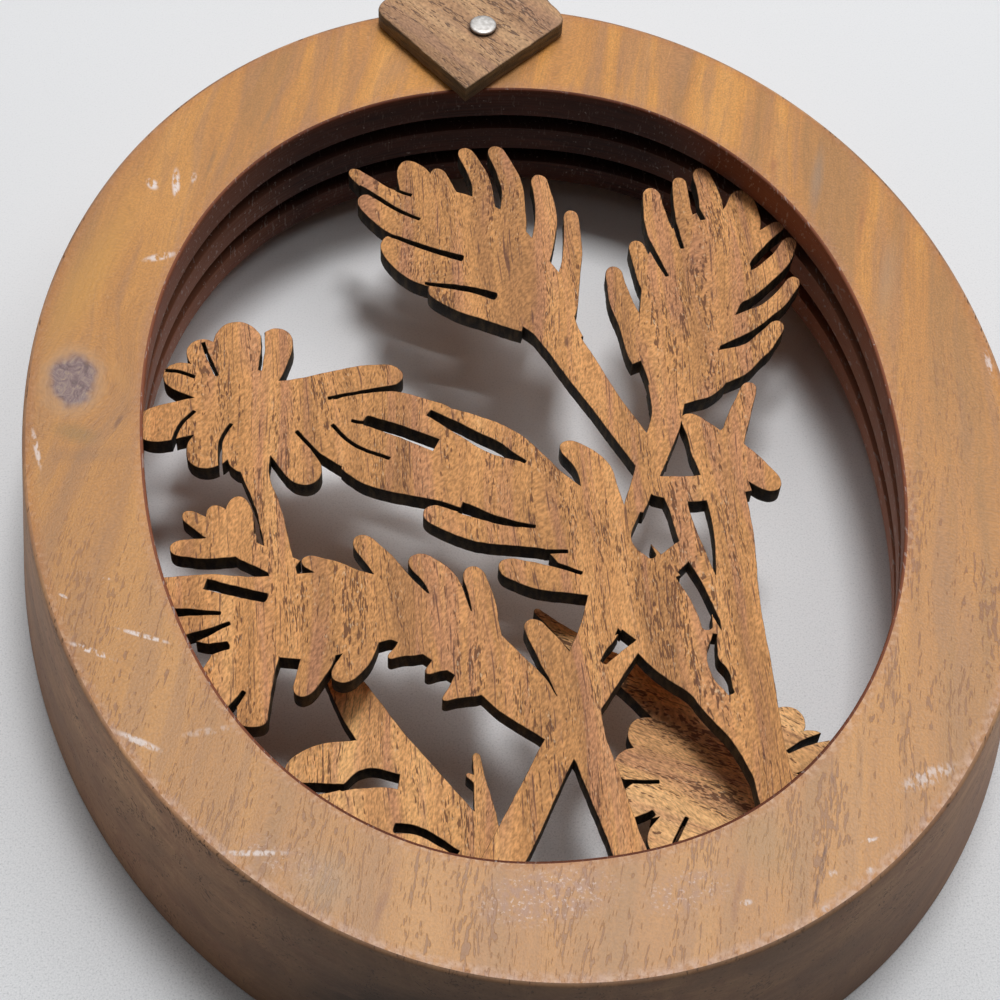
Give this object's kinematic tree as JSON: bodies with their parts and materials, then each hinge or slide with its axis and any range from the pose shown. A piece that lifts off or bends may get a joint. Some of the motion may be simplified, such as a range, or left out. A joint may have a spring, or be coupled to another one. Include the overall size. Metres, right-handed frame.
{
  "type": "wall plaque",
  "caption": "Oval wooden wall plaque: a deep ring whose grooves hold layers of sawn flowers and leaves, with a small wooden hanging tab that turns on a pin.",
  "frame": {"origin": "middle of the whole plaque's length and width, on the ring's underside", "axes": "+Z out of the pinned face, +Y towards the hanging tab, +X to the right with the pinned face towards the viewer"},
  "size_m": [0.1258, 0.1578, 0.0274],
  "materials": {
    "ring_wood": "oiled",
    "front_wood": "oiled",
    "back_wood": "oiled",
    "daisy_wood": "oiled",
    "tab_wood": "oiled",
    "pin_steel": "satin"
  },
  "bodies": {
    "plaque": {"frame_ring": "ring_wood", "front_fretwork": "front_wood", "back_left_spray": "back_wood", "back_daisy": "daisy_wood", "tab_pin": "pin_steel"},
    "tab": {"hanger_tab": "tab_wood"}
  },
  "joints": [
    {"name": "tab_turn", "type": "hinge", "parent": "plaque", "child": "tab", "pos_m": [0.0022, 0.06032, 0.0254], "axis": [0, 0, 1], "continuous": true}
  ]
}
